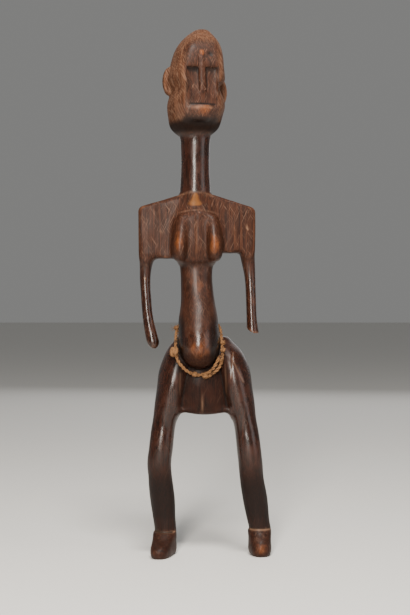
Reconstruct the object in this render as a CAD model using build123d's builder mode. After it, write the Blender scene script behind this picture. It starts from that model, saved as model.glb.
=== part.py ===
"""Standing ancestor figure, carved from one block of dense hardwood, with a knotted fibre cord round its hips.

Frame: millimetres, +Z up, the figure faces -Y, and its own right side is at -X. The origin is on the
floor, under the middle of the figure. The carving is one piece of wood, so it is one solid. The cord
that hangs round the hips, and each of its knots, are solids of their own.
"""

from build123d import *
from math import acos, pi, tan
import os

# ---- Driving dimensions -------------------------------------------------------------------------
# Heights, from the floor up. Each stage stands on the one before it.
FOOT_HEIGHT = 26.0
SHIN_LENGTH = 73.0
THIGH_LENGTH = 54.0
PELVIS_HEIGHT = 77.0
WAIST_LENGTH = 77.0
CHEST_HEIGHT = 75.0
NECK_LENGTH = 61.0
HEAD_HEIGHT = 114.4

# Widths, depths and thicknesses.
SHOULDER_SPAN = 123.6
SHOULDER_THICKNESS = 26.0
SHOULDER_HEIGHT = 67.0
SHOULDER_SLOPE = 13.8
CHEST_WIDTH = 54.0
BREAST_SPACING = 37.0
BREAST_PROJECTION = 16.5
NECK_WIDTH = 33.2
NECK_WAIST = 30.2
COLLAR_STEP = 1.0
WAIST_WIDTH = 33.4
BELLY_WIDTH = 43.4
BELLY_PROJECTION = 32.0
PELVIS_WIDTH = 56.0
BUTTOCK_PROJECTION = 29.0
THIGH_WIDTH = 36.8
HIP_DROP = 3.6
KNEE_WIDTH = 25.4
KNEE_FORWARD = 13.5
CALF_WIDTH = 26.2
ANKLE_WIDTH = 23.4
ANKLE_STEP = 0.6
STANCE = 100.0
LEG_SPREAD = 96.0
RIGHT_FOOT_DROP = 2.7
RIGHT_FOOT_LENGTH = 48.0
LEFT_FOOT_LENGTH = 38.0
FOOT_WIDTH = 24.4
RIGHT_ARM_LENGTH = 95.5
LEFT_ARM_LENGTH = 84.0
ARM_WIDTH = 10.8
HEAD_WIDTH = 58.0
HEAD_DEPTH = 73.0
FACE_WIDTH = 35.0
HEAD_TURN = 13.0
BROW_DROP = 45.9
EAR_HEIGHT = 30.0
EAR_PROJECTION = 5.2
EAR_THICKNESS = 8.0
EAR_SPREAD = 0.8
NOSE_WIDTH = 6.6
NOSE_LENGTH = 27.0
NOSE_PROJECTION = 3.2
CHEEK_DEPTH = 4.4
FACE_RIM = 1.4
LIP_WIDTH = 29.0
LIP_HEIGHT = 5.4
LIP_PROJECTION = 4.6
MOUTH_HEIGHT = 1.6
MOUTH_DEPTH = 2.4
CORD_DIAMETER = 3.5
KNOT_WIDTH = 5.6
END_KNOT_WIDTH = 7.0
HIP_KNOT_WIDTH = 10
HIP_KNOT_LENGTH = 10

# The carver's block leans a little: the middle line of each stage stands off the figure's middle.
TRUNK_X = -4.2
CHEST_X = -7.3
NECK_X = -8.1
YOKE_X = -6.5
HEAD_X = -8.3
STANCE_X = 9.3
LEG_X = 2.0

# ---- Levels worked out from the lengths -----------------------------------------------------------
ANKLE = FOOT_HEIGHT
KNEE = ANKLE + SHIN_LENGTH
CROTCH = KNEE + THIGH_LENGTH
CREST = CROTCH + PELVIS_HEIGHT
CHEST_FOOT = CREST + WAIST_LENGTH
NECK_FOOT = CHEST_FOOT + CHEST_HEIGHT
CHIN_FOOT = NECK_FOOT + NECK_LENGTH
CROWN = CHIN_FOOT + HEAD_HEIGHT

ROUND = 0.552  # the handle length that makes four cubic quarters into an ellipse
SQUARISH = 0.72
BURIED = 6.0  # how far one member runs on inside its neighbour, so that the union is sound


def slice_at(height, x, y, half_width, front, back, fullness=ROUND):
    """One level slice of a rounded member: four Bezier quarters, each way from its middle (x, y)."""
    right, left = (x + half_width, y), (x - half_width, y)
    near, far = (x, y - front), (x, y + back)
    side = fullness * half_width
    with BuildSketch(Plane.XY.offset(height)) as outline:
        with BuildLine():
            Bezier(right, (x + half_width, y + fullness * back), (x + side, y + back), far)
            Bezier(far, (x - side, y + back), (x - half_width, y + fullness * back), left)
            Bezier(left, (x - half_width, y - fullness * front), (x - side, y - front), near)
            Bezier(near, (x + side, y - front), (x + half_width, y - fullness * front), right)
        make_face()
    return outline.sketch


def member(slices):
    """A solid through a stack of level slices."""
    with BuildPart() as body:
        loft([slice_at(*item) for item in slices])
    return body.part


# ---- Trunk, pelvis and belly ----------------------------------------------------------------------
def trunk():
    """The round waist, which swells forward into the belly and turns under above the groin."""
    waist, belly, reach = WAIST_WIDTH / 2, BELLY_WIDTH / 2, BELLY_PROJECTION
    return member([
        (CHEST_FOOT + BURIED, TRUNK_X - 2.8, 1, waist + 0.2, 15, 15),
        (CREST + 0.9 * WAIST_LENGTH, TRUNK_X - 2.9, 1, waist + 0.3, 15.5, 15),
        (CREST + 0.77 * WAIST_LENGTH, TRUNK_X - 2.6, 0, waist, 16.3, 15),
        (CREST + 0.63 * WAIST_LENGTH, TRUNK_X - 2.0, -1, waist + 0.5, 18, 15.5),
        (CREST + 0.49 * WAIST_LENGTH, TRUNK_X - 1.3, -2.5, waist + 1.4, 20.5, 16.5),
        (CREST + 0.35 * WAIST_LENGTH, TRUNK_X - 0.8, -4.5, belly - 2, reach - 8, 17.5),
        (CREST + 0.2 * WAIST_LENGTH, TRUNK_X - 0.7, -6.5, belly - 0.6, reach - 4.5, 18.5),
        (CREST + 0.05 * WAIST_LENGTH, TRUNK_X - 0.2, -8.5, belly, reach - 1.5, 19.5),
        (CREST - 9, TRUNK_X + 0.2, -9.5, belly - 0.1, reach, 20),
        (CREST - 18, TRUNK_X + 0.5, -9.5, belly - 1.4, reach - 1.5, 20),
        (CREST - 25, TRUNK_X + 0.7, -9, belly - 4, reach - 5.5, 18),
        (CREST - 30, TRUNK_X + 0.9, -8, belly - 8.2, reach - 12, 14),
        (CREST - 33, TRUNK_X + 1.0, -7, belly - 13.5, reach - 20, 9),
    ])


def pelvis():
    """The block between the thighs: a level lower edge in front, and a shelf behind the waist above."""
    half, reach = PELVIS_WIDTH / 2, BUTTOCK_PROJECTION
    return member([
        (CROTCH - 1, 0.8, 0, half - 2.2, 17, 19, SQUARISH),
        (CROTCH + 3, 0.6, 0, half + 1, 20, 22, SQUARISH),
        (CROTCH + 0.17 * PELVIS_HEIGHT, 0, 0.5, half + 1, 22, reach - 4, SQUARISH),
        (CROTCH + 0.36 * PELVIS_HEIGHT, -0.5, 1, half + 1, 22.5, reach - 2, SQUARISH),
        (CROTCH + 0.55 * PELVIS_HEIGHT, -1, 2, half, 21.5, reach - 1, SQUARISH),
        (CROTCH + 0.74 * PELVIS_HEIGHT, -2, 4, half - 1, 18, reach - 3, ROUND),
        (CROTCH + 0.9 * PELVIS_HEIGHT, -3, 5.5, half - 4, 13, reach - 7, ROUND),
        (CREST + 2, -4, 6.5, half - 8, 10, reach - 13, ROUND),
        (CREST + 9, -4.5, 6.5, half - 12, 8, reach - 18, ROUND),
        (CREST + 15, -4.8, 6.5, half - 17, 6, reach - 22, ROUND),
    ])


# ---- Legs and feet --------------------------------------------------------------------------------
def leg(side, ankle_x, knee_x, hip_x, crest_drop):
    """A bent leg, from inside the foot to the hip. The x values are distances from the middle."""
    ankle, calf, knee, thigh = ANKLE_WIDTH / 2, CALF_WIDTH / 2, KNEE_WIDTH / 2, THIGH_WIDTH / 2
    bend, rear = KNEE_FORWARD, BUTTOCK_PROJECTION
    shin = knee_x - ankle_x
    upper = knee_x - hip_x
    rows = [
        (ANKLE - BURIED, ankle_x - 0.06 * shin, 1.0, ankle - 0.2, 11.4, 11.4),
        (ANKLE + 0.1 * SHIN_LENGTH, ankle_x, 0.5, ankle, 11.5, 11.6),
        (ANKLE + 0.27 * SHIN_LENGTH, ankle_x + 0.22 * shin, -0.04 * bend, calf - 0.7, 11.8, 12.4),
        (ANKLE + 0.45 * SHIN_LENGTH, ankle_x + 0.43 * shin, -0.22 * bend, calf, 12.3, 13.5),
        (ANKLE + 0.63 * SHIN_LENGTH, ankle_x + 0.68 * shin, -0.48 * bend, calf - 0.1, 12.7, 14.0),
        (ANKLE + 0.81 * SHIN_LENGTH, ankle_x + 0.88 * shin, -0.76 * bend, knee - 0.2, 13.1, 13.0),
        (KNEE - 1, knee_x, -0.97 * bend, knee, 13.6, 12.6),
        (KNEE + 0.2 * THIGH_LENGTH, knee_x - 0.07 * upper, -bend, knee + 0.1, 13.6, 12.6),
        (KNEE + 0.44 * THIGH_LENGTH, knee_x - 0.15 * upper, -0.93 * bend, knee - 0.1, 13.7, 13.0),
        (KNEE + 0.68 * THIGH_LENGTH, knee_x - 0.25 * upper, -0.78 * bend, knee - 0.2, 14.3, 13.9),
        (KNEE + 0.8 * THIGH_LENGTH, knee_x - 0.33 * upper, -0.69 * bend, knee + 0.1, 15.4, 14.7),
        (KNEE + 0.93 * THIGH_LENGTH, knee_x - 0.43 * upper, -0.56 * bend, thigh - 4.7, 17.4, 16.3),
        (CROTCH + 0.05 * PELVIS_HEIGHT, knee_x - 0.54 * upper, -0.41 * bend, thigh - 3.4, 20, 19),
        (CROTCH + 0.2 * PELVIS_HEIGHT, knee_x - 0.69 * upper, -0.22 * bend, thigh - 2.2, 23, rear - 5.5),
        (CROTCH + 0.36 * PELVIS_HEIGHT, knee_x - 0.84 * upper, -0.04 * bend, thigh - 1.2, 25.4, rear - 2),
        (CROTCH + 0.53 * PELVIS_HEIGHT, hip_x, 1.5, thigh, 26, rear),
        (CROTCH + 0.69 * PELVIS_HEIGHT, hip_x - 4, 3.5, thigh, 24.5, rear),
        (CROTCH + 0.8 * PELVIS_HEIGHT - 0.3 * crest_drop, hip_x - 7.1, 4.8, thigh - 0.6, 21.8, rear - 1.8),
        (CROTCH + 0.885 * PELVIS_HEIGHT - 0.7 * crest_drop, hip_x - 9.6, 6, thigh - 2, 18.3, rear - 4.3),
        (CROTCH + 0.955 * PELVIS_HEIGHT - crest_drop, hip_x - 11.6, 7, thigh - 4.4, 14.2, rear - 8.2),
        (CREST + 1 - crest_drop, hip_x - 13, 8, thigh - 7.2, 10.5, rear - 12.8),
        (CREST + 4.5 - crest_drop, hip_x - 14, 8.5, thigh - 11.6, 6.2, rear - 18.2),
    ]
    return member([(height, side * x, y, half, front, back) for height, x, y, half, front, back in rows])


def foot(x, y, height, length, splay):
    """A stubby foot. It is a little wider than the ankle, which leaves a thin ledge round the ankle."""
    ledge = ANKLE_WIDTH / 2 + ANKLE_STEP
    half, heel = FOOT_WIDTH / 2, 13.0
    toe = length - heel
    body = member([
        (0, 0, 0, half - 2.6, toe - 3.5, heel - 2, SQUARISH),
        (0.13 * height, 0, 0, half - 0.5, toe - 0.5, heel, SQUARISH),
        (0.38 * height, 0, 0, half, toe - 0.4, heel, 0.68),
        (0.62 * height, 0, 0, half - 0.2, 0.5 * toe + 8.5, heel, 0.64),
        (0.82 * height, 0, 0, ledge + 0.1, 0.17 * toe + 11.4, 12.6, 0.6),
        (height, 0, 0, ledge, 12.5, 12.3, ROUND),
    ])
    return body.rotate(Axis.Z, splay).translate((x, y, 0))


# ---- Chest, shoulders, arms -----------------------------------------------------------------------
def chest():
    """The middle of the chest, from the waist to the foot of the neck."""
    half, neck_half = CHEST_WIDTH / 2, NECK_WIDTH / 2
    return member([
        (CHEST_FOOT - 3, CHEST_X, 2, half - 10.5, 15.5, 15.5, ROUND),
        (CHEST_FOOT + 0.07 * CHEST_HEIGHT, CHEST_X + 0.6, 1, half - 5, 18, 17.5, 0.65),
        (CHEST_FOOT + 0.24 * CHEST_HEIGHT, CHEST_X + 1, 1, half - 1, 20, 19, SQUARISH),
        (CHEST_FOOT + 0.5 * CHEST_HEIGHT, CHEST_X + 1, 1, half - 1, 20, 19, SQUARISH),
        (CHEST_FOOT + 0.7 * CHEST_HEIGHT, CHEST_X + 0.5, 1, half - 3, 18, 18, SQUARISH),
        (CHEST_FOOT + 0.86 * CHEST_HEIGHT, CHEST_X, 1, neck_half + 5, 16.2, 17, 0.66),
        (NECK_FOOT - 0.5, CHEST_X - 0.6, 1, neck_half + 1.5, 15.6, 16.5, 0.6),
    ])


def breast_panel():
    """The raised field that both breasts hang from, with a rounded upper edge."""
    half = CHEST_WIDTH / 2
    return member([
        (CHEST_FOOT + 1, CHEST_X + 0.6, -6, half - 10, 9, 6, ROUND),
        (CHEST_FOOT + 0.09 * CHEST_HEIGHT, CHEST_X + 0.8, -6, half - 3, 14, 6, 0.66),
        (CHEST_FOOT + 0.24 * CHEST_HEIGHT, CHEST_X + 1, -6, half + 0.2, 15.6, 6, SQUARISH),
        (CHEST_FOOT + 0.5 * CHEST_HEIGHT, CHEST_X + 1, -6, half, 15.2, 6, SQUARISH),
        (CHEST_FOOT + 0.65 * CHEST_HEIGHT, CHEST_X + 1, -6, half - 3.4, 13.8, 6, SQUARISH),
        (CHEST_FOOT + 0.73 * CHEST_HEIGHT, CHEST_X + 1, -6, half - 9, 12.4, 6, 0.66),
        (CHEST_FOOT + 0.765 * CHEST_HEIGHT, CHEST_X + 1, -6, half - 16, 10.8, 6, ROUND),
    ])


def shoulders():
    """A square-cornered yoke with a sloping top. Its underside is a little lower on the right side."""
    half, low = SHOULDER_SPAN / 2, NECK_FOOT - 1.2 - SHOULDER_HEIGHT
    top, neck_half = NECK_FOOT - 1.2, NECK_WIDTH / 2 + 1
    corner = top - SHOULDER_SLOPE
    with BuildPart() as body:
        with BuildSketch(Plane.XZ):
            with BuildLine():
                Polyline(
                    (YOKE_X - half, low),
                    (YOKE_X - half, corner + 0.6),
                    (YOKE_X - neck_half, top),
                    (YOKE_X + neck_half, top),
                    (YOKE_X + half, corner - 0.6),
                    (YOKE_X + half, low + 6),
                    (YOKE_X, low + 6),
                    (YOKE_X - 8, low),
                    close=True,
                )
            make_face()
        extrude(amount=SHOULDER_THICKNESS / 2, both=True)
        upright = body.edges().filter_by(Axis.Y)
        corners = [e for e in upright if abs(e.center().X - YOKE_X) > half - 1 and e.center().Z > low + 30]
        fillet(corners, 6.5)
        front = body.faces().sort_by(Axis.Y)[0].edges()
        fillet([e for e in front if e.center().Z > low + 8], 3.2)
        back = body.faces().sort_by(Axis.Y)[-1].edges()
        fillet([e for e in back if e.center().Z > low + 8], 5.5)
    return body.part.translate((0, 1.5, 0))


def breast(side):
    """A long hanging cone, rounded at its lower end."""
    reach = BREAST_PROJECTION
    x = CHEST_X + 1.4 + side * BREAST_SPACING / 2
    return member([
        (CHEST_FOOT + 0.7 * CHEST_HEIGHT, x - side * 3.5, -14, 3.5, 4, 4),
        (CHEST_FOOT + 0.56 * CHEST_HEIGHT, x - side * 2.2, -14, 7.2, reach - 7.5, 6),
        (CHEST_FOOT + 0.37 * CHEST_HEIGHT, x - side * 0.8, -14, 8.6, reach - 1, 6),
        (CHEST_FOOT + 0.22 * CHEST_HEIGHT, x, -14, 8.9, reach + 2.4, 6),
        (CHEST_FOOT + 0.11 * CHEST_HEIGHT, x, -14, 7.6, reach + 0.3, 6),
        (CHEST_FOOT + 0.04 * CHEST_HEIGHT, x, -14.5, 4, reach - 7.5, 5),
    ])


def right_arm():
    """The figure's right arm, which ends in a rounded club without a hand."""
    half, depth = ARM_WIDTH / 2, SHOULDER_THICKNESS / 2
    top = NECK_FOOT - 1.2 - SHOULDER_HEIGHT
    x = YOKE_X - SHOULDER_SPAN / 2
    return member([
        (top + 24, x + 9.4, 1.5, half + 3.2, depth - 0.6, depth - 1.2, SQUARISH),
        (top + 10, x + 9.2, 1.5, half + 3.1, depth - 0.9, depth - 1.6, SQUARISH),
        (top, x + 8.4, 1.5, half + 2.3, depth - 2, depth - 2.8, 0.68),
        (top - 0.09 * RIGHT_ARM_LENGTH, x + 7.4, 1, half + 1.4, depth - 3.6, depth - 4.4, 0.62),
        (top - 0.24 * RIGHT_ARM_LENGTH, x + 6.8, 0, half + 0.3, depth - 5.8, depth - 6.2, ROUND),
        (top - 0.42 * RIGHT_ARM_LENGTH, x + 7.9, -2, half, 6.2, 6.2, ROUND),
        (top - 0.6 * RIGHT_ARM_LENGTH, x + 9.4, -4.5, half + 0.1, 6.1, 6.1, ROUND),
        (top - 0.76 * RIGHT_ARM_LENGTH, x + 12.0, -7, half + 0.7, 6.4, 6.4, ROUND),
        (top - 0.88 * RIGHT_ARM_LENGTH, x + 14.6, -9.3, half + 1.3, 6.7, 6.7, ROUND),
        (top - 0.95 * RIGHT_ARM_LENGTH, x + 15.8, -10.6, half + 0.5, 6, 6, ROUND),
        (top - 0.985 * RIGHT_ARM_LENGTH, x + 16.3, -11.2, half - 1.8, 3.9, 3.9, ROUND),
        (top - RIGHT_ARM_LENGTH, x + 16.5, -11.4, half - 4, 1.7, 1.7, ROUND),
    ])


def left_arm():
    """The figure's left arm, which is shorter and cut off on a slant."""
    half, depth = ARM_WIDTH / 2, SHOULDER_THICKNESS / 2
    top = NECK_FOOT + 4.8 - SHOULDER_HEIGHT
    x = YOKE_X + SHOULDER_SPAN / 2
    end = top - LEFT_ARM_LENGTH
    blank = member([
        (top + 24, x - 9.4, 1.5, half + 3.2, depth - 0.6, depth - 1.2, SQUARISH),
        (top + 10, x - 9.2, 1.5, half + 3.1, depth - 0.9, depth - 1.6, SQUARISH),
        (top, x - 8.2, 1.5, half + 2.5, depth - 2, depth - 2.8, 0.68),
        (top - 0.12 * LEFT_ARM_LENGTH, x - 7.2, 1, half + 2.1, depth - 3.6, depth - 4.4, 0.62),
        (top - 0.28 * LEFT_ARM_LENGTH, x - 5.6, 0, half + 0.9, depth - 5.6, depth - 6, ROUND),
        (top - 0.46 * LEFT_ARM_LENGTH, x - 4.7, -2, half + 0.1, 6.4, 6.4, ROUND),
        (top - 0.64 * LEFT_ARM_LENGTH, x - 4.3, -4, half, 6.2, 6.2, ROUND),
        (top - 0.82 * LEFT_ARM_LENGTH, x - 3.8, -6, half + 0.1, 6.3, 6.3, ROUND),
        (top - 0.94 * LEFT_ARM_LENGTH, x - 3.1, -7.3, half + 0.6, 6.6, 6.6, ROUND),
        (end - 4, x - 2.7, -8, half + 0.8, 6.7, 6.7, ROUND),
    ])
    cut = Plane(origin=(x - 3, -7, end + 1.8), z_dir=(-0.38, 0.35, -1))
    with BuildPart() as body:
        add(blank)
        split(bisect_by=cut, keep=Keep.BOTTOM)
    return body.part


# ---- Neck and head --------------------------------------------------------------------------------
def neck():
    """A round column, narrow in the middle, with a step at its foot and a rim at its top."""
    radius, waist = NECK_WIDTH / 2, NECK_WAIST / 2
    foot_z, top = NECK_FOOT, CHIN_FOOT
    step = radius + COLLAR_STEP
    with BuildPart() as body:
        with BuildSketch(Plane.XZ):
            with BuildLine():
                Polyline((0, top + BURIED), (0, foot_z - BURIED), (step, foot_z - BURIED))
                Polyline((step, foot_z - BURIED), (step, foot_z), (radius, foot_z + 1))
                ThreePointArc((radius, foot_z + 1), (waist, 0.4 * foot_z + 0.6 * top), (radius - 0.8, top - 3.5))
                Polyline((radius - 0.8, top - 3.5), (radius, top - 1), (radius - 0.2, top))
                Polyline((radius - 0.2, top), (radius - 2.5, top + BURIED), (0, top + BURIED))
            make_face()
        revolve(axis=Axis.Z)
    return body.part.translate((NECK_X, 1.5, 0))


def head_slice(height, x, face_half, half_width, front, back, fullness=0.62):
    """One level slice of the head: a flat face, slanting sides and a rounded back."""
    near_right, near_left = (x + face_half, -front), (x - face_half, -front)
    right, left, far = (x + half_width, 0), (x - half_width, 0), (x, back)
    lean = 0.5 * front
    cheek = face_half + 0.45 * (half_width - face_half)
    side = fullness * half_width
    with BuildSketch(Plane.XY.offset(height)) as outline:
        with BuildLine():
            Line(near_left, near_right)
            Bezier(near_right, (x + cheek, -front), (x + half_width, -lean), right)
            Bezier(right, (x + half_width, fullness * back), (x + side, back), far)
            Bezier(far, (x - side, back), (x - half_width, fullness * back), left)
            Bezier(left, (x - half_width, -lean), (x - cheek, -front), near_left)
        make_face()
    return outline.sketch


def head():
    """The head in its own frame, with the face towards -Y, before it is turned and set on the neck."""
    half, face, depth = HEAD_WIDTH / 2, FACE_WIDTH / 2, HEAD_DEPTH / 2
    brow = CROWN - BROW_DROP
    nose_foot = brow - NOSE_LENGTH
    lip_top = nose_foot - 13.3
    chin = lip_top - LIP_HEIGHT - 9
    face_y = -(depth - 1)
    slices = [
        (CHIN_FOOT - 3, 0, face - 12.5, half - 18.5, depth - 26.5, depth - 23.5),
        (CHIN_FOOT + 0.5, -0.4, face - 10, half - 13.2, depth - 23, depth - 17),
        (CHIN_FOOT + 0.036 * HEAD_HEIGHT, -0.5, face - 7.5, half - 9.3, depth - 19, depth - 11.5),
        (CHIN_FOOT + 0.075 * HEAD_HEIGHT, -0.4, face - 5, half - 4.7, depth - 14, depth - 6.5),
        (chin + 1.5, -0.3, face - 3, half - 1.9, depth - 6.5, depth - 2.5),
        (chin + 9, 0, face - 1.2, half - 0.5, depth - 2, depth - 0.6),
        (lip_top + 9, 0, face, half - 0.2, depth - 0.3, depth),
        (nose_foot + 15, 0.2, face + 0.2, half - 0.2, depth - 0.8, depth + 0.5),
        (brow + 2, 0.8, face - 0.2, half - 0.6, depth - 1.3, depth),
        (CROWN - 0.29 * HEAD_HEIGHT, 1.9, face - 1.9, half - 2.3, depth - 4, depth - 1.5),
        (CROWN - 0.188 * HEAD_HEIGHT, 3.0, face - 5, half - 5.2, depth - 8, depth - 5.5),
        (CROWN - 0.111 * HEAD_HEIGHT, 4.2, face - 8.5, half - 10, depth - 14.5, depth - 11.5),
        (CROWN - 0.06 * HEAD_HEIGHT, 5.3, face - 11.5, half - 15.2, depth - 21.5, depth - 18.5),
        (CROWN - 0.021 * HEAD_HEIGHT, 6.4, face - 14, half - 20, depth - 27.5, depth - 26.5),
        (CROWN, 7.2, face - 16.5, half - 26, depth - 33.5, depth - 33.5),
    ]
    with BuildPart() as skull:
        loft([head_slice(*item) for item in slices])
        # The cheeks: a wedge cut back from the brow, which runs out above the mouth.
        with BuildSketch(Plane.YZ):
            with BuildLine():
                Polyline(
                    (face_y - 8, brow),
                    (face_y + CHEEK_DEPTH, brow),
                    (face_y - 0.6, nose_foot - 4),
                    (face_y - 8, nose_foot - 4),
                    close=True,
                )
            make_face()
        extrude(amount=face - FACE_RIM, both=True, mode=Mode.SUBTRACT)
        # The nose runs straight down from the brow.
        with BuildSketch(Plane.YZ):
            with BuildLine():
                Polyline(
                    (face_y + CHEEK_DEPTH + 2, brow + 1),
                    (face_y + 0.8, brow + 1),
                    (face_y - NOSE_PROJECTION, nose_foot + 2),
                    (face_y - NOSE_PROJECTION + 1, nose_foot),
                    (face_y + CHEEK_DEPTH, nose_foot),
                    close=True,
                )
            make_face()
        extrude(amount=NOSE_WIDTH / 2, both=True)
        # The lower lip is a level slab.
        with BuildSketch(Plane.XY.offset(lip_top)):
            with BuildLine():
                ThreePointArc((-LIP_WIDTH / 2, face_y + 1), (0, face_y - LIP_PROJECTION), (LIP_WIDTH / 2, face_y + 1))
                Polyline(
                    (LIP_WIDTH / 2, face_y + 1),
                    (LIP_WIDTH / 2 - 2, face_y + 8),
                    (-LIP_WIDTH / 2 + 2, face_y + 8),
                    (-LIP_WIDTH / 2, face_y + 1),
                )
            make_face()
        extrude(amount=-LIP_HEIGHT)
        # The mouth is a level groove over the lip.
        with BuildSketch(Plane.XY.offset(lip_top)):
            with Locations((0, face_y - 4)):
                Rectangle(LIP_WIDTH - 2.5, 2 * (4 + MOUTH_DEPTH))
        extrude(amount=MOUTH_HEIGHT, mode=Mode.SUBTRACT)
        # The chin, a narrower wedge under the lip.
        under = lip_top - LIP_HEIGHT
        loft([
            slice_at(under + 1, 0, face_y + 6, LIP_WIDTH / 2 - 1.2, LIP_PROJECTION + 4.8, 5, SQUARISH),
            slice_at(0.5 * (under + chin), 0, face_y + 6, LIP_WIDTH / 2 - 2.6, LIP_PROJECTION + 3.2, 5, 0.64),
            slice_at(chin - 1, 0, face_y + 8, LIP_WIDTH / 2 - 6, LIP_PROJECTION + 0.5, 5, 0.6),
        ])
    return skull.part


def ear(side, spread, level):
    """A half-moon ear beside the head, hollowed on its front, in the head's own frame."""
    middle = side * (HEAD_WIDTH / 2 - 2 + spread)
    with BuildPart() as body:
        with BuildSketch(Plane.XZ.offset(-EAR_THICKNESS)):
            with Locations((middle, level)):
                Ellipse(EAR_PROJECTION + 2, EAR_HEIGHT / 2)
        extrude(amount=EAR_THICKNESS)
        with BuildSketch(Plane.XZ):
            with Locations((middle + side * 0.8, level)):
                Ellipse(EAR_PROJECTION - 1.4, EAR_HEIGHT / 2 - 4)
        extrude(amount=-2.2, mode=Mode.SUBTRACT)
    return body.part


def turned(piece):
    """A piece of the head, turned and set over the neck."""
    return piece.rotate(Axis.Z, HEAD_TURN).translate((HEAD_X, 1, 0))


def carved_figure():
    """Every member, joined into the one solid that the carver cut from one block."""
    right_ankle, left_ankle = STANCE / 2 - STANCE_X, STANCE / 2 + STANCE_X
    right_knee, left_knee = LEG_SPREAD / 2 - LEG_X, LEG_SPREAD / 2 + LEG_X
    members = [
        trunk(),
        pelvis(),
        leg(-1, right_ankle, right_knee, right_knee - 17.5, 0),
        leg(1, left_ankle, left_knee, left_knee - 18.4, HIP_DROP),
        foot(-right_ankle + 0.2, -1, FOOT_HEIGHT - RIGHT_FOOT_DROP, RIGHT_FOOT_LENGTH, -11),
        foot(left_ankle + 0.8, 1, FOOT_HEIGHT, LEFT_FOOT_LENGTH, 3),
        chest(),
        breast_panel(),
        shoulders(),
        breast(-1),
        breast(1),
        right_arm(),
        left_arm(),
        neck(),
        turned(head()),
        turned(ear(-1, 0, CROWN - 0.485 * HEAD_HEIGHT)),
        turned(ear(1, EAR_SPREAD, CROWN - 0.573 * HEAD_HEIGHT)),
    ]
    with BuildPart() as figure:
        for piece in members:
            add(piece)
    return figure.part


# ---- The cord -------------------------------------------------------------------------------------
def waist_route():
    """The corners of the cord's path. Both ends lie side by side in front, each tied in a knot."""
    groin, belly, shelf = CREST - 39.5, BELLY_WIDTH / 2, CREST + 18.5
    return [
        (1.5, -23.9, groin - 2.5),
        (12.8, -23.9, groin + 2.4),
        (20.6, -23.2, groin + 14.6),
        (TRUNK_X + belly + 3.0, -16.8, groin + 29.0),
        (TRUNK_X + belly + 2.0, -4.0, groin + 42.0),
        (TRUNK_X + belly + 0.4, 9.0, shelf - 6),
        (7, 19.0, shelf),
        (-15, 19.2, shelf + 0.4),
        (TRUNK_X - belly - 0.2, 9.5, shelf - 5),
        (TRUNK_X - belly - 2.7, -4.0, groin + 43),
        (TRUNK_X - belly - 2.9, -16.2, groin + 29.5),
        (-27.8, -23.9, groin + 17.0),
        (-18.6, -26.2, groin + 5.5),
        (-6.5, -25.6, groin - 0.2),
        (5.4, -25.2, groin + 2.4),
        (12.8, -25.2, groin + 9.0),
        (16.4, -24.6, groin + 18.5),
    ]


def fillet_radii(points):
    """A bend radius for each inner corner, from the shorter of its two runs and its turn."""
    radii = []
    for before, corner, after in zip(points, points[1:], points[2:]):
        incoming, outgoing = Vector(corner) - Vector(before), Vector(after) - Vector(corner)
        cosine = incoming.normalized().dot(outgoing.normalized())
        radii.append(0.45 * min(incoming.length, outgoing.length) / tan(acos(cosine) / 2))
    return radii


def cord_line():
    """The cord's middle line: straight runs joined by tangent arcs."""
    points = waist_route()
    with BuildLine() as line:
        FilletPolyline(*points, radius=fillet_radii(points))
    return line.line.wires()[0]


def cord_tube(path):
    with BuildPart() as tube:
        with BuildLine():
            add(path)
        with BuildSketch(Plane(path @ 0, z_dir=path % 0)):
            Circle(CORD_DIAMETER / 2)
        sweep()
    return tube.part


def knot_channel():
    """The way that the cord takes through its knots. It runs on past both ends of the cord."""
    points = waist_route()
    lead = Vector(points[0]) - Vector(points[1])
    tail = Vector(points[-1]) - Vector(points[-2])
    points[0] = tuple(Vector(points[0]) + lead * 0.8)
    points[-1] = tuple(Vector(points[-1]) + tail * 0.8)
    with BuildPart() as tube:
        with BuildLine() as line:
            FilletPolyline(*points, radius=fillet_radii(waist_route()))
        with BuildSketch(Plane(line.line @ 0, z_dir=line.line % 0)):
            Circle(CORD_DIAMETER / 2)
        sweep()
    return tube.part


def knot(path, along, outward, length, width):
    """A knot on the cord: a ball, or a spheroid with its long axis along the cord."""
    lie = Plane(origin=path @ along + Vector(*outward), z_dir=path % along)
    with BuildPart() as body:
        if length == width:
            Sphere(width / 2)
        else:
            with BuildSketch(Plane.XZ):
                Ellipse(width / 2, length / 2)
                with Locations((-width / 2, 0)):
                    Rectangle(width, length, mode=Mode.SUBTRACT)
            revolve(axis=Axis.Z)
    return lie.location * body.part


os.makedirs("parts", exist_ok=True)
figure = carved_figure()
figure.label = "carved_figure"
export_step(figure, "parts/carved_figure.step")
box = figure.bounding_box()
print("carved_figure", len(figure.solids()), "solids", box.min, box.max, figure.center(CenterOf.MASS))

line = cord_line()
print("bend radii", [round(r, 1) for r in fillet_radii(waist_route())])
cord = cord_tube(line)
cord.label = "waist_cord"
export_step(cord, "parts/waist_cord.step")
section = pi * CORD_DIAMETER**2 / 4
print("cord length", round(line.length, 1), "by volume", round(cord.volume / section, 1))

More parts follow.
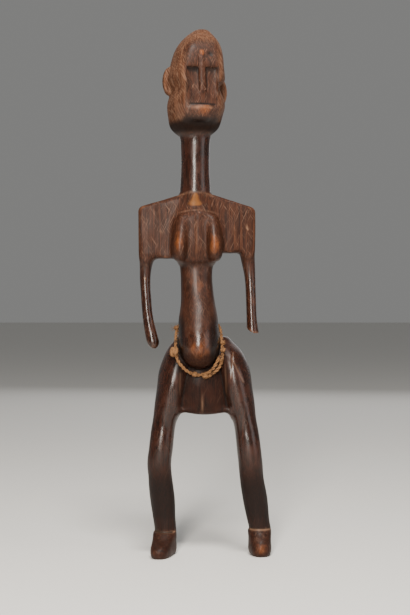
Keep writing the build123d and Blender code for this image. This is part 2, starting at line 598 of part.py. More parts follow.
# Each knot: where it sits along the cord, how far its middle stands off the cord, length and width.
KNOTS = {
    "front_end_knot": (0.012, (-2.0, -1.0, 1.3), END_KNOT_WIDTH, END_KNOT_WIDTH),
    "side_end_knot": (0.122, (-1.9, -1.5, 0.4), END_KNOT_WIDTH, END_KNOT_WIDTH),
    "side_knot": (0.165, (0.3, -1.2, -0.3), KNOT_WIDTH, KNOT_WIDTH),
    "upper_knot": (0.201, (0.5, -1.2, 0.5), KNOT_WIDTH - 0.4, KNOT_WIDTH - 0.4),
    "tuft_knot": (0.577, (-0.6, -0.6, 0.8), KNOT_WIDTH - 0.4, KNOT_WIDTH - 0.4),
    "hip_knot": (0.712, (-1.6, -2.3, -0.4), HIP_KNOT_LENGTH, HIP_KNOT_WIDTH),
    "front_knot": (0.856, (0, -0.9, 0.2), KNOT_WIDTH, KNOT_WIDTH),
}
channel = knot_channel()
for name, (along, outward, length, width) in KNOTS.items():
    piece = knot(line, along, outward, length, width) - channel
    piece.label = name
    export_step(piece, f"parts/{name}.step")
    print(name, len(piece.solids()), "solid, middle", [round(v, 1) for v in piece.center(CenterOf.MASS)])
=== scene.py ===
"""Looks of a carved wooden ancestor figure with a knotted fibre cord round its hips."""
import math
import random

import bmesh
import bpy
import numpy as np
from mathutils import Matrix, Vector, noise


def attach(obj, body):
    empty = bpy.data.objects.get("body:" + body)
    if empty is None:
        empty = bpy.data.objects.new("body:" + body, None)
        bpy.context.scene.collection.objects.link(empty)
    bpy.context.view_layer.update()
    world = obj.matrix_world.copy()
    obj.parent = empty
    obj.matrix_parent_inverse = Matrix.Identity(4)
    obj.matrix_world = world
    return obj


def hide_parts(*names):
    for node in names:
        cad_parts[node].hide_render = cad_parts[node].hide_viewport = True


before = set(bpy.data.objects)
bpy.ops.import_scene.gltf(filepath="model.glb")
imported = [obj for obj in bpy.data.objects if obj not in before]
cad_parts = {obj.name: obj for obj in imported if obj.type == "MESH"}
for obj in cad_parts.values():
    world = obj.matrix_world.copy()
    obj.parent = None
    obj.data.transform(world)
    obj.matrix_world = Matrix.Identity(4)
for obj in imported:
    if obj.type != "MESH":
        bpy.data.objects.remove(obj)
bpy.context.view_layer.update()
random.seed(11)
MM = 0.001

# ---------------------------------------------------------------- camera

camera_data = bpy.data.cameras.new("camera")
camera_data.sensor_fit = "HORIZONTAL"
camera_data.sensor_width = 24
camera_data.lens = 71.55
camera = bpy.data.objects.new("camera", camera_data)
camera.location = (0.00213, -1.300, 0.2616)
camera.rotation_euler = (math.radians(90), 0, 0)
bpy.context.collection.objects.link(camera)
bpy.context.scene.camera = camera

# ---------------------------------------------------------------- helpers


def linear(hex_colour):
    """An sRGB colour such as "#54301f" as linear red, green, blue and alpha."""
    parts = [int(hex_colour[i : i + 2], 16) / 255 for i in (1, 3, 5)]
    return tuple([v / 12.92 if v <= 0.04045 else ((v + 0.055) / 1.055) ** 2.4 for v in parts] + [1.0])


def node(tree, kind, settings=None, inputs=None):
    """Adds a shader node. settings are its properties; inputs are values or other nodes' outputs."""
    made = tree.nodes.new(kind)
    for key, value in (settings or {}).items():
        setattr(made, key, value)
    for key, value in (inputs or {}).items():
        if isinstance(value, bpy.types.NodeSocket):
            tree.links.new(value, made.inputs[key])
        else:
            made.inputs[key].default_value = value
    return made


def mesh_object(name, points, faces, material, smooth=True):
    mesh = bpy.data.meshes.new(name)
    mesh.from_pydata([tuple(p) for p in points], [], faces)
    mesh.materials.append(material)
    mesh.polygons.foreach_set("use_smooth", [smooth] * len(mesh.polygons))
    made = bpy.data.objects.new(name, mesh)
    bpy.context.collection.objects.link(made)
    return made


def around(values, centre, width):
    """A smooth bell, 1 at centre and small past width."""
    return np.exp(-(((values - centre) / width) ** 2))


def ramp(values, start, end):
    """0 at start and 1 at end, smooth between, either way round."""
    t = np.clip((values - start) / (end - start), 0, 1)
    return t * t * (3 - 2 * t)


def noise_field(points, size, seed, stretch=1.0):
    """Smooth noise from -1 to 1 with lumps of this size in mm, drawn out along z by stretch."""
    out = np.empty(len(points))
    for i, (x, y, z) in enumerate(points):
        out[i] = noise.noise((x / size + seed, y / size - seed, z / (size * stretch) + 3 * seed))
    return out


# ---------------------------------------------------------------- materials


def wood_material():
    """Hardwood blackened by smoke and handling, then rubbed with wax: dark and shining, with bare rubbed-through wood,
    painted shade in hollows, creases and undersides, and painted highlights on a few ledges and the lower lip.
    """
    material = bpy.data.materials.new("patinated_hardwood")
    material.use_nodes = True
    tree = material.node_tree
    tree.nodes.clear()
    place = node(tree, "ShaderNodeTexCoord").outputs["Object"]

    def mapped(scale, turn=(0, 0, 0)):
        turned = node(tree, "ShaderNodeMapping", None, {"Vector": place, "Rotation": turn}).outputs[0]
        return node(tree, "ShaderNodeMapping", None, {"Vector": turned, "Scale": scale}).outputs[0]

    def clouds(scale, detail=3.0, rough=0.55, turn=(0, 0, 0), distortion=0.0):
        return node(
            tree,
            "ShaderNodeTexNoise",
            None,
            {"Vector": mapped(scale, turn), "Scale": 1.0, "Detail": detail, "Roughness": rough, "Distortion": distortion},
        ).outputs["Fac"]

    def spread(value, low, high, to_low=0.0, to_high=1.0):
        return node(
            tree,
            "ShaderNodeMapRange",
            {"interpolation_type": "SMOOTHSTEP"},
            {"Value": value, "From Min": low, "From Max": high, "To Min": to_low, "To Max": to_high},
        ).outputs[0]

    def sums(kind, a, b, clamp=False):
        return node(tree, "ShaderNodeMath", {"operation": kind, "use_clamp": clamp}, {0: a, 1: b}).outputs[0]

    def blend(fac, a, b, kind="MIX"):
        made = node(tree, "ShaderNodeMix", {"data_type": "RGBA", "blend_type": kind})
        for key, value in ((0, fac), (6, a), (7, b)):
            if isinstance(value, bpy.types.NodeSocket):
                tree.links.new(value, made.inputs[key])
            else:
                made.inputs[key].default_value = value
        return made.outputs[2]

    def painted(name):
        return node(tree, "ShaderNodeAttribute", {"attribute_name": name}).outputs["Fac"]

    brown, wear_and_highlight, warm, dark, ochre, line, hatch, dull = (
        painted(n) for n in ("brown", "wear_and_highlight", "warm", "dark", "ochre", "line", "hatch", "dull")
    )

    # Grain runs up the log: streaks 0.5 to 2 mm wide and some 30 mm long.
    grain = clouds((900, 900, 34), 4, 0.6)
    streaks = clouds((330, 330, 22), 3, 0.55)
    mottle = clouds((70, 70, 45), 4, 0.6)
    speckle = clouds((1500, 1500, 700), 2, 0.6)
    # Fine scratches from handling and scraping, in two directions.
    scratch_a = spread(clouds((1900, 300, 80), 1, 0.4, (0, 0.62, 0)), 0.64, 0.76)
    scratch_b = spread(clouds((2000, 300, 65), 1, 0.4, (0, -0.4, 0.1)), 0.63, 0.75)
    hatched = spread(clouds((1700, 320, 38), 1, 0.4, (0, 0.42, 0)), 0.46, 0.68)
    scratches = sums("MULTIPLY", sums("MAXIMUM", scratch_a, scratch_b), sums("ADD", sums("MULTIPLY", brown, 0.26), 0.1))
    scratches = sums("MAXIMUM", scratches, sums("MULTIPLY", hatched, sums("MULTIPLY", hatch, 0.4)))

    deep = blend(spread(grain, 0.35, 0.7), linear("#140804"), linear("#30150b"))
    deep = blend(spread(mottle, 0.45, 0.7, 0, 0.5), deep, linear("#3c1d11"))
    rubbed = blend(spread(grain, 0.32, 0.7), linear("#210f07"), linear("#422416"))
    body = blend(spread(sums("ADD", brown, sums("MULTIPLY", sums("SUBTRACT", mottle, 0.5), 0.8)), 0.1, 0.95), deep, rubbed)
    worn_and_lit_wood = blend(spread(streaks, 0.3, 0.7), linear("#442819"), linear("#694531"))
    worn_and_lit_wood = blend(spread(speckle, 0.35, 0.75, 0, 0.4), worn_and_lit_wood, linear("#462719"))
    # Paler bare wood where worn, and a painted highlight on the lower lip.
    wear_and_highlight_mask = spread(sums("ADD", wear_and_highlight, sums("MULTIPLY", sums("SUBTRACT", streaks, 0.5), 0.5)), 0.2, 0.95)
    colour = blend(wear_and_highlight_mask, body, worn_and_lit_wood)
    warm_mask = spread(sums("ADD", warm, sums("MULTIPLY", sums("SUBTRACT", mottle, 0.5), 1.2)), 0.2, 0.95)
    colour = blend(sums("MULTIPLY", warm_mask, 0.85), colour, blend(spread(grain, 0.3, 0.7), linear("#56270e"), linear("#844818")))
    ochre_mask = spread(sums("ADD", ochre, sums("MULTIPLY", sums("SUBTRACT", mottle, 0.5), 0.9)), 0.3, 0.8)
    colour = blend(sums("MULTIPLY", ochre_mask, 0.5), colour, linear("#875423"))
    colour = blend(scratches, colour, linear("#8e6f5b"))
    # Pale lines: engraved marks and nicks, and painted highlights along the collar and ankle ledges, the chest panel's
    # top edge and the lower lip.
    colour = blend(sums("MULTIPLY", line, 0.8), colour, linear("#a07c62"))
    # Near black where the dark attribute is high: mostly painted shade in hollows, creases and undersides and on the
    # shins, and a darker tone on the pelvis front.
    shade_and_dark_tone_mask = spread(sums("ADD", dark, sums("MULTIPLY", sums("SUBTRACT", mottle, 0.5), 0.6)), 0.1, 0.95)
    colour = blend(sums("MULTIPLY", shade_and_dark_tone_mask, 0.92), colour, linear("#0f0806"))

    rough = sums("ADD", spread(mottle, 0.3, 0.7, 0.19, 0.32), sums("MULTIPLY", wear_and_highlight_mask, 0.22))
    rough = sums("ADD", rough, sums("MULTIPLY", dull, 0.42))
    rough = sums("ADD", rough, sums("MULTIPLY", scratches, 0.15), True)

    height = sums("ADD", sums("MULTIPLY", grain, 0.45), sums("MULTIPLY", streaks, 0.5))
    height = sums("SUBTRACT", height, sums("MULTIPLY", scratches, 0.25))
    relief = node(
        tree, "ShaderNodeBump", None, {"Strength": 0.35, "Distance": 0.0006, "Height": height}
    ).outputs["Normal"]

    shader = node(
        tree,
        "ShaderNodeBsdfPrincipled",
        None,
        {"Base Color": colour, "Roughness": rough, "Normal": relief},
    )
    shader.inputs["Coat Weight"].default_value = 0.04
    shader.inputs["Coat Roughness"].default_value = 0.22
    gloss = sums("SUBTRACT", 0.4, sums("MULTIPLY", dull, 0.3))
    tree.links.new(gloss, shader.inputs["Specular IOR Level"])
    tree.links.new(shader.outputs[0], node(tree, "ShaderNodeOutputMaterial").inputs[0])
    return material


def fibre_material():
    """Dry twisted bark or leaf fibre, tan, dull, with darker dirt between the plies."""
    material = bpy.data.materials.new("plant_fibre")
    material.use_nodes = True
    tree = material.node_tree
    shader = tree.nodes["Principled BSDF"]
    place = node(tree, "ShaderNodeTexCoord").outputs["Object"]
    fine = node(tree, "ShaderNodeTexNoise", None, {"Vector": place, "Scale": 1400.0, "Detail": 3.0}).outputs["Fac"]
    broad = node(tree, "ShaderNodeTexNoise", None, {"Vector": place, "Scale": 160.0, "Detail": 2.0}).outputs["Fac"]
    mixed = node(tree, "ShaderNodeMath", {"operation": "ADD"}, {0: fine, 1: broad}).outputs[0]
    shades = node(tree, "ShaderNodeValToRGB", None, {"Fac": mixed})
    shades.color_ramp.elements[0].position = 0.75
    shades.color_ramp.elements[0].color = linear("#22130a")
    shades.color_ramp.elements[1].position = 1.25 - 0.27
    shades.color_ramp.elements[1].color = linear("#765334")
    tree.links.new(shades.outputs[0], shader.inputs["Base Color"])
    relief = node(tree, "ShaderNodeBump", None, {"Strength": 0.5, "Distance": 0.0003, "Height": fine})
    tree.links.new(relief.outputs[0], shader.inputs["Normal"])
    shader.inputs["Roughness"].default_value = 0.85
    shader.inputs["Specular IOR Level"].default_value = 0.25
    return material


wood = wood_material()
fibre = fibre_material()

# ---------------------------------------------------------------- waist cord

CORD_DIAMETER = 0.0035
ROUTE = [
    (1.5, -23.9, 188.0), (12.8, -23.9, 192.9), (20.6, -23.2, 205.1), (20.5, -16.8, 219.5), (19.5, -4.0, 232.5),
    (17.9, 9.0, 242.5), (7.0, 19.0, 248.5), (-15.0, 19.2, 248.9), (-26.1, 9.5, 243.5), (-28.6, -4.0, 233.5),
    (-28.8, -16.2, 220.0), (-27.8, -23.9, 207.5), (-18.6, -26.2, 196.0), (-6.5, -25.6, 190.3), (5.4, -25.2, 192.9),
    (12.8, -25.2, 199.5), (16.4, -24.6, 209.0),
]


def route_line():
    """Points read along the NURBS line that the cord follows, in metres."""
    curve = bpy.data.curves.new("cord_route", "CURVE")
    curve.dimensions = "3D"
    curve.resolution_u = 24
    spline = curve.splines.new("NURBS")
    spline.points.add(len(ROUTE) - 1)
    for point, (x, y, z) in zip(spline.points, ROUTE):
        point.co = (x * MM, y * MM, z * MM, 1)
    spline.order_u = 3
    spline.use_endpoint_u = True
    holder = bpy.data.objects.new("cord_route", curve)
    bpy.context.collection.objects.link(holder)
    mesh = bpy.data.meshes.new_from_object(holder)
    points = np.array([v.co[:] for v in mesh.vertices])
    bpy.data.objects.remove(holder)
    bpy.data.meshes.remove(mesh)
    return points


def evenly(points, step):
    """The same line with points this far apart."""
    points = np.asarray(points, float)
    run = np.concatenate([[0], np.cumsum(np.linalg.norm(np.diff(points, axis=0), axis=1))])
    at = np.linspace(0, run[-1], max(3, int(run[-1] / step)))
    return np.stack([np.interp(at, run, points[:, k]) for k in range(3)], 1), run[-1]


def frames(points):
    """Tangent and two side directions at each point, carried along without turning."""
    tangent = np.gradient(points, axis=0)
    tangent /= np.linalg.norm(tangent, axis=1)[:, None]
    side = np.zeros_like(points)
    first = np.cross(tangent[0], [0.0, 0.3, 1.0])
    side[0] = first / np.linalg.norm(first)
    for i in range(1, len(points)):
        s = side[i - 1] - tangent[i] * np.dot(side[i - 1], tangent[i])
        side[i] = s / np.linalg.norm(s)
    return tangent, side, np.cross(tangent, side)


def tube(points, radii, sides=8):
    """Vertices and faces of a closed tube along points."""
    radii = np.broadcast_to(radii, (len(points),))
    _, side, other = frames(points)
    verts = []
    for p, s, o, r in zip(points, side, other, radii):
        for k in range(sides):
            a = 2 * math.pi * k / sides
            verts.append(p + r * (math.cos(a) * s + math.sin(a) * o))
    faces = []
    for i in range(len(points) - 1):
        for k in range(sides):
            n = (k + 1) % sides
            faces.append((i * sides + k, i * sides + n, (i + 1) * sides + n, (i + 1) * sides + k))
    faces.append(tuple(range(sides))[::-1])
    last = (len(points) - 1) * sides
    faces.append(tuple(last + k for k in range(sides)))
    return verts, faces


def joined(parts):
    verts, faces = [], []
    for v, f in parts:
        base = len(verts)
        verts += list(v)
        faces += [tuple(base + i for i in face) for face in f]
    return verts, faces


route, cord_length = evenly(route_line(), 0.0004)
route_t, route_s, route_o = frames(route)
along = np.linspace(0, cord_length, len(route))


def strand(phase, reach, radius, lay, wobble, seed):
    """One ply of the cord: a helix round the route, with an uneven thickness."""
    lumps = np.array([noise.noise((a / 0.006, seed, 0.0)) for a in along])
    turn = phase + 2 * math.pi * along / lay + 0.5 * lumps
    out = reach * (1 + wobble * lumps)
    line = route + out[:, None] * (np.cos(turn)[:, None] * route_s + np.sin(turn)[:, None] * route_o)
    return tube(line, radius * (1 + 0.16 * lumps), 9)


PLY = CORD_DIAMETER * 0.285
cord_parts = [strand(k * math.pi, CORD_DIAMETER * 0.235, PLY, 0.0088, 0.12, 3.1 + 5 * k) for k in range(2)]
waist_cord = mesh_object("waist_cord_strands", *joined(cord_parts), fibre)


def tied_knot(name, middle, axis, width, length, cord_width, turns=3, seed=0.0):
    """An overhand knot: one cord wound through itself, in a ball of this width and length along axis."""
    axis = Vector(axis).normalized()
    side = axis.orthogonal().normalized()
    other = axis.cross(side)
    reach = (width - cord_width) / 2
    line = []
    for i in range(150):
        a = 2 * math.pi * i / 150
        # A trefoil, the closed form of an overhand knot, pressed to the ball's shape.
        x = (math.sin(a) + 2 * math.sin(2 * a)) / 3
        y = (math.cos(a) - 2 * math.cos(2 * a)) / 3
        z = -math.sin(3 * a)
        wob = 1 + 0.08 * noise.noise((x * 2 + seed, y * 2, z))
        p = Vector(middle) + wob * (side * x * reach + other * y * reach + axis * z * (length - cord_width) / 2 * 0.75)
        line.append(p)
    line.append(line[0])
    pts, _ = evenly(np.array([p[:] for p in line]), 0.00035)
    lumps = np.array([noise.noise((i * 0.045, seed, 1.0)) for i in range(len(pts))])
    parts = [tube(pts, cord_width / 2 * (1 + 0.14 * lumps), 9)]
    # The core of the knot, behind its loops.
    core = []
    for i in range(9):
        t = i / 8 * 2 - 1
        core.append(Vector(middle) + axis * t * length * 0.36)
    core_pts = np.array([p[:] for p in core])
    core_r = np.array([width * 0.34 * math.sqrt(max(0.02, 1 - (i / 4 - 1) ** 2)) for i in range(9)])
    parts.append(tube(core_pts, core_r, 12))
    return mesh_object(name, *joined(parts), fibre)


def route_at(fraction):
    i = int(fraction * (len(route) - 1))
    return route[i], route_t[i]


KNOTS = {  # node: fraction of the route, middle in mm, width, length, cord width in mm
    "front_end_knot": (0.012, (2.0, -25.1, 190.3), 7.2, 7.2, 3.0),
    "side_end_knot": (0.122, (18.4, -23.5, 208.0), 7.2, 7.0, 3.0),
    "side_knot": (0.165, (21.0, -19.5, 216.9), 6.0, 6.0, 2.6),
    "upper_knot": (0.201, (20.9, -14.4, 224.7), 5.6, 5.6, 2.5),
    "tuft_knot": (0.577, (-28.4, 1.5, 239.6), 5.6, 5.6, 2.5),
    "hip_knot": (0.712, (-29.9, -21.8, 214.9), 10.0, 13.0, 4.0),
    "front_knot": (0.856, (-8.6, -27.3, 191.9), 6.0, 6.0, 2.7),
}
for i, (name, (fraction, middle, width, length, thick)) in enumerate(KNOTS.items()):
    _, direction = route_at(fraction)
    made = tied_knot(name + "_tied", [v * MM for v in middle], direction, width * MM, length * MM, thick * MM, seed=1.7 * i)
    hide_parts(name)
    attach(made, "root")

# Loose fibres that stand off the cord and fray out at its knots.


def hair(start, direction, length, width, curl, seed):
    points = []
    p = Vector(start)
    d = Vector(direction).normalized()
    for i in range(6):
        points.append(p.copy())
        bend = Vector(noise.noise_vector(p * 300 + Vector((seed, 0, 0)))) * curl
        d = (d + bend + Vector((0, 0, -0.05))).normalized()
        p = p + d * length / 5
    radii = [width * (1 - 0.13 * i) for i in range(6)]
    return tube(np.array([q[:] for q in points]), np.array(radii), 4)


hairs = []
for i in range(230):
    f = random.random()
    k = int(f * (len(route) - 1))
    a = random.uniform(0, 2 * math.pi)
    out = route_s[k] * math.cos(a) + route_o[k] * math.sin(a)
    start = route[k] + out * CORD_DIAMETER * 0.42
    if out[1] > 0.55 and abs(route[k][1]) < 0.03:
        continue
    lean = out * 0.7 + route_t[k] * random.choice((-1, 1)) * random.uniform(0.5, 1.3)
    hairs.append(hair(start, lean, random.uniform(0.0012, 0.0032), 0.00007, 0.5, i * 0.37))
for name, count, reach in (("hip_knot", 46, 4.0), ("tuft_knot", 40, 6.5), ("side_end_knot", 26, 3.2), ("upper_knot", 24, 4.2), ("front_end_knot", 24, 3.2), ("front_knot", 14, 2.4), ("side_knot", 12, 2.4)):
    _, middle, width, length, _ = KNOTS[name]
    for i in range(count):
        d = Vector((random.gauss(0, 1), random.gauss(-0.5, 0.7), random.gauss(0.1, 1))).normalized()
        start = Vector(middle) * MM + d * width * MM * 0.36
        hairs.append(hair(start, d, random.uniform(0.4, 1.0) * reach * MM, 0.00009, 0.7, i * 0.61 + width))
fibres = mesh_object("cord_loose_fibres", *joined(hairs), fibre)

for piece in (waist_cord, fibres):
    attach(piece, "root")
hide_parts("waist_cord")

# ---------------------------------------------------------------- figure

VOXEL = 0.00085
TRIANGLES = 190000


def prism(outline, back, front_y):
    """A closed block whose outline in x and z runs from one depth to another, all in mm."""
    work = bmesh.new()
    rear = [work.verts.new((x * MM, back * MM, z * MM)) for x, z in outline]
    fore = [work.verts.new((x * MM, front_y * MM, z * MM)) for x, z in outline]
    work.faces.new(rear)
    work.faces.new(fore[::-1])
    for i in range(len(outline)):
        j = (i + 1) % len(outline)
        work.faces.new((rear[j], rear[i], fore[i], fore[j]))
    bmesh.ops.recalc_face_normals(work, faces=work.faces)
    return work


def hollow_corner(x, z, side, radius):
    """Outline that rounds an inner corner whose open side is below it, to the right (1) or left (-1)."""
    outline = [(x - side * 2, z + 2), (x + side * radius, z + 2)]
    for i in range(9):
        a = math.radians(90 - i * 11.25)
        outline.append((x + side * radius * (1 - math.cos(a)), z - radius * (1 - math.sin(a))))
    outline.append((x - side * 2, z - radius))
    return outline


def sagging_edge(left, right, z, drop):
    outline = [(right, z + 3), (left, z + 3)]
    for i in range(13):
        t = i / 12
        outline.append((left + (right - left) * t, z - drop * (1 - (2 * t - 1) ** 2)))
    return outline


# What the knife left in the inner corners: armpits, groin and the tops of the arms. Outline, back and front.
FILLINGS = [
    (hollow_corner(-54.8, 314.6, 1, 8.5), 8, -7.5),
    (hollow_corner(42.2, 320.2, -1, 6), 9, -7.5),
    (hollow_corner(-26.0, 152.6, 1, 9), -1, -13),
    (hollow_corner(28.8, 152.6, -1, 9), -1, -13),
    (hollow_corner(-25.2, 152.6, 1, 5.5), 5, -18),
    (hollow_corner(28.0, 152.6, -1, 5.5), 5, -18),
    (sagging_edge(-25, 28, 152.6, 4.0), 12, -20.5),
    ([(-67.2, 308), (-55, 308), (-52, 326), (-67.6, 326)], 10, -10.8),
    ([(42.6, 312), (54.6, 312), (54.6, 330), (38, 330)], 10, -10.8),
]


def remeshed(name):
    """A watertight even mesh of a CAD node, its faces merged first and its inner corners filled."""
    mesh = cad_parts[name].data.copy()
    work = bmesh.new()
    work.from_mesh(mesh)
    bmesh.ops.remove_doubles(work, verts=work.verts, dist=1e-6)
    for outline, back, fore in FILLINGS:
        block = prism(outline, back, fore)
        part = bpy.data.meshes.new("filling")
        block.to_mesh(part)
        block.free()
        work.from_mesh(part)
        bpy.data.meshes.remove(part)
    work.to_mesh(mesh)
    work.free()
    holder = bpy.data.objects.new("figure_source", mesh)
    bpy.context.collection.objects.link(holder)
    grid = holder.modifiers.new("grid", "REMESH")
    grid.mode = "VOXEL"
    grid.voxel_size = VOXEL
    made = bpy.data.meshes.new_from_object(holder.evaluated_get(bpy.context.evaluated_depsgraph_get()))
    bpy.data.objects.remove(holder)
    return made


def read(mesh):
    """Vertex places in mm, vertex normals and edges of a mesh."""
    n = len(mesh.vertices)
    points = np.empty(n * 3, np.float32)
    mesh.vertices.foreach_get("co", points)
    normals = np.empty(n * 3, np.float32)
    mesh.vertices.foreach_get("normal", normals)
    edges = np.empty(len(mesh.edges) * 2, np.int32)
    mesh.edges.foreach_get("vertices", edges)
    return points.reshape(-1, 3).astype(float) * 1000, normals.reshape(-1, 3).astype(float), edges.reshape(-1, 2)


def neighbour_mean(values, edges, degree):
    a, b = edges[:, 0], edges[:, 1]
    n = len(values)
    if values.ndim == 1:
        return (np.bincount(a, values[b], n) + np.bincount(b, values[a], n)) / degree
    return np.stack([neighbour_mean(values[:, k], edges, degree) for k in range(values.shape[1])], 1)


def relaxed(points, edges, rounds, weight):
    """Smooths a mesh, keeping its volume, as far as weight says at each vertex."""
    degree = np.maximum(np.bincount(edges.ravel(), minlength=len(points)), 1)
    for i in range(rounds):
        for step in (0.55, -0.57):
            points = points + step * weight[:, None] * (neighbour_mean(points, edges, degree) - points)
    return points


def melted(points, edges, rounds, weight):
    """Smooths a mesh without keeping sharp corners."""
    degree = np.maximum(np.bincount(edges.ravel(), minlength=len(points)), 1)
    for i in range(rounds):
        points = points + 0.5 * weight[:, None] * (neighbour_mean(points, edges, degree) - points)
    return points


def head_frame(p):
    """Places in the head's own frame: across, depth (face to the front, negative) and height."""
    a = math.radians(13)
    x, y = p[:, 0] + 8.3, p[:, 1] - 1
    return x * math.cos(a) + y * math.sin(a), -x * math.sin(a) + y * math.cos(a), p[:, 2]


figure_mesh = remeshed("carved_figure")
P, N, E = read(figure_mesh)
scale = (0.85 / (VOXEL * 1000)) ** 2


def rounds(n):
    return max(1, int(n * scale))


P = relaxed(P, E, rounds(4), np.ones(len(P)))
x, y, z = P.T
joins = around(z, 311, 16) * ramp(np.abs(x + 6), 34, 42)
groin = around(z, 151.5, 9) * ramp(np.abs(x - 1), 38, 30)
collar = ramp(-N[:, 1], 0.0, 0.5) * ramp(z, 340, 352) * ramp(np.abs(x + 8), 42, 34)
bosom = ramp(-N[:, 1], -0.6, 0.2) * ramp(z, 296, 304) * ramp(z, 372, 360) * ramp(np.abs(x + 6), 30, 24)
bib = ramp(-N[:, 1], -0.7, 0.0) * ramp(z, 306, 314) * ramp(z, 376, 368)
bib *= np.clip(around(z, 364, 9) * ramp(np.abs(x + 6), 34, 28) + around(x, -29.5, 5) + around(x, 18.5, 5), 0, 1)
P = melted(P, E, rounds(64), joins)
P = melted(P, E, rounds(120), groin)
P = melted(P, E, rounds(56), np.maximum(collar, bib))
P = melted(P, E, rounds(10), bosom)


def stroke(points, start, end, width):
    """1 along a straight line in x and z from start to end, seen from the front, and 0 away from it."""
    a, b = np.array(start, float), np.array(end, float)
    flat = points[:, [0, 2]] - a
    t = np.clip(flat @ (b - a) / ((b - a) @ (b - a)), 0, 1)
    return around(np.linalg.norm(flat - t[:, None] * (b - a), axis=1), 0, width)


HIP_STROKES = [((30.5, 208), (42, 184)), ((31.5, 214), (29.5, 188))]


def carved(points):
    """Knife and adze work too small for the frame: facets, the face's cut lines and scratched marks."""
    x, y, z = points.T
    hx, hy, _ = head_frame(points)
    fore = ramp(-N[:, 1], 0.2, 0.6)
    face = fore * ramp(z, 440, 450)
    push = 0.22 * noise_field(points, 15, 2.3, 1.7) + 0.10 * noise_field(points, 5, 7.1, 2.2)
    push *= 1 - 0.6 * face
    push -= 1.1 * face * around(z, 472.6 - 0.004 * hx**2, 0.9) * ramp(np.abs(hx), 15, 13)
    push -= 0.5 * face * around(z, 511.4, 0.8) * ramp(np.abs(hx), 18, 16) * ramp(np.abs(hx), 2, 3)
    push -= 0.5 * face * around(np.abs(hx - 0.2), 4.6, 0.8) * ramp(z, 484, 487) * ramp(z, 513, 511)
    push += 0.55 * face * around(hx, 0.3, 1.3) * ramp(z, 511, 513) * ramp(z, 530, 524)
    push -= 0.6 * face * around(hx, -3.2, 0.8) * ramp(z, 510, 512) * ramp(z, 526, 521)
    push -= 0.5 * face * around(np.hypot(hx - 9, z - 526), 0, 2.4)
    push -= 0.25 * fore * around(x, -24 + 0.03 * (z - 185), 0.9) * ramp(z, 160, 170) * ramp(z, 209, 200)
    push -= 0.2 * fore * around(x, 24 - 0.04 * (z - 185), 0.9) * ramp(z, 160, 170) * ramp(z, 209, 200)
    mark = around(z, 160, 8)
    push += fore * mark * (0.6 * around(x + 0.6, 0, 1.0) - 0.55 * (around(x, 2.2, 0.9) + around(x, -3.4, 0.9)))
    push -= 0.3 * fore * around(x, -6.6, 0.9) * ramp(z, 310, 318) * ramp(z, 362, 356)
    for start, end in HIP_STROKES:
        push -= 0.3 * fore * stroke(points, start, end, 0.8)
    push -= 0.35 * fore * around(z, 363 - 0.008 * (x + 6) ** 2, 0.8) * ramp(np.abs(x + 6), 25, 19)
    return points + N * push[:, None]


P = carved(P)
P = relaxed(P, E, rounds(1), np.ones(len(P)))


def write(mesh, points):
    mesh.vertices.foreach_set("co", (points / 1000).astype(np.float32).ravel())
    mesh.update()


write(figure_mesh, P)

figure = bpy.data.objects.new("figure_carving", figure_mesh)
bpy.context.collection.objects.link(figure)
thin = figure.modifiers.new("thin", "DECIMATE")
thin.ratio = TRIANGLES / (2 * len(figure_mesh.polygons))
thinned = bpy.data.meshes.new_from_object(figure.evaluated_get(bpy.context.evaluated_depsgraph_get()))
figure.modifiers.clear()
figure.data = thinned
figure.data.name = "figure_carving"
mesh = figure.data
P, N, E = read(mesh)
degree = np.maximum(np.bincount(E.ravel(), minlength=len(P)), 1)
x, y, z = P.T
hx, hy, hz = head_frame(P)
front = ramp(-N[:, 1], 0.15, 0.6)


def paint(name, values):
    layer = mesh.attributes.new(name, "FLOAT", "POINT")
    layer.data.foreach_set("value", np.clip(values, 0, 1).astype(np.float32))


# How far each place is proud of (or sunk below) the mean of what is round it.
flat = melted(P, E, rounds(30), np.ones(len(P)))
proud = np.einsum("ij,ij->i", P - flat, N)
for _ in range(3):
    proud = neighbour_mean(proud, E, degree)

wear_and_highlight = ramp(proud, 0.26, 0.9) * 0.62
# Painted shade: the more a place is sunk, the darker it is painted, less so on the front of the chest.
dark = ramp(-proud, 0.10, 0.5) * 0.85
dark *= 1 - 0.45 * front * ramp(z, 306, 318) * ramp(z, 372, 362)
brown = np.zeros(len(P))
warm = np.zeros(len(P))
ochre = np.zeros(len(P))
line = np.zeros(len(P))

in_head = ramp(z, 440, 450)
crown_side = in_head * np.maximum(ramp(np.abs(hx), 13, 21), ramp(hy, -30, -22))
wear_and_highlight = np.maximum(wear_and_highlight, crown_side * 0.64)
wear_and_highlight = np.maximum(wear_and_highlight, in_head * ramp(z, 530, 552) * 0.42)
brown = np.maximum(brown, in_head * 0.85)
warm = np.maximum(warm, in_head * around(np.hypot(hx, 0.7 * (z - 527)), 0, 3) * 0.95 * ramp(-hy, 10, 20))
warm = np.maximum(warm, in_head * ramp(-hy, 20, 28) * around(z, 466, 8) * around(hx, 0, 13) * 0.7)
dark = np.maximum(dark, around(np.hypot(hx - 9, z - 526), 0, 3.4) * in_head * ramp(-hy, 5, 15) * 0.9)
dark = np.maximum(dark, around(np.hypot(hx + 4, 0.4 * (z - 519)), 0, 1.3) * in_head * ramp(-hy, 10, 20) * 0.7)
# Painted shade on the downward-facing underside of the jaw.
dark = np.maximum(dark, in_head * ramp(-N[:, 2], 0.25, 0.8) * ramp(z, 470, 452))

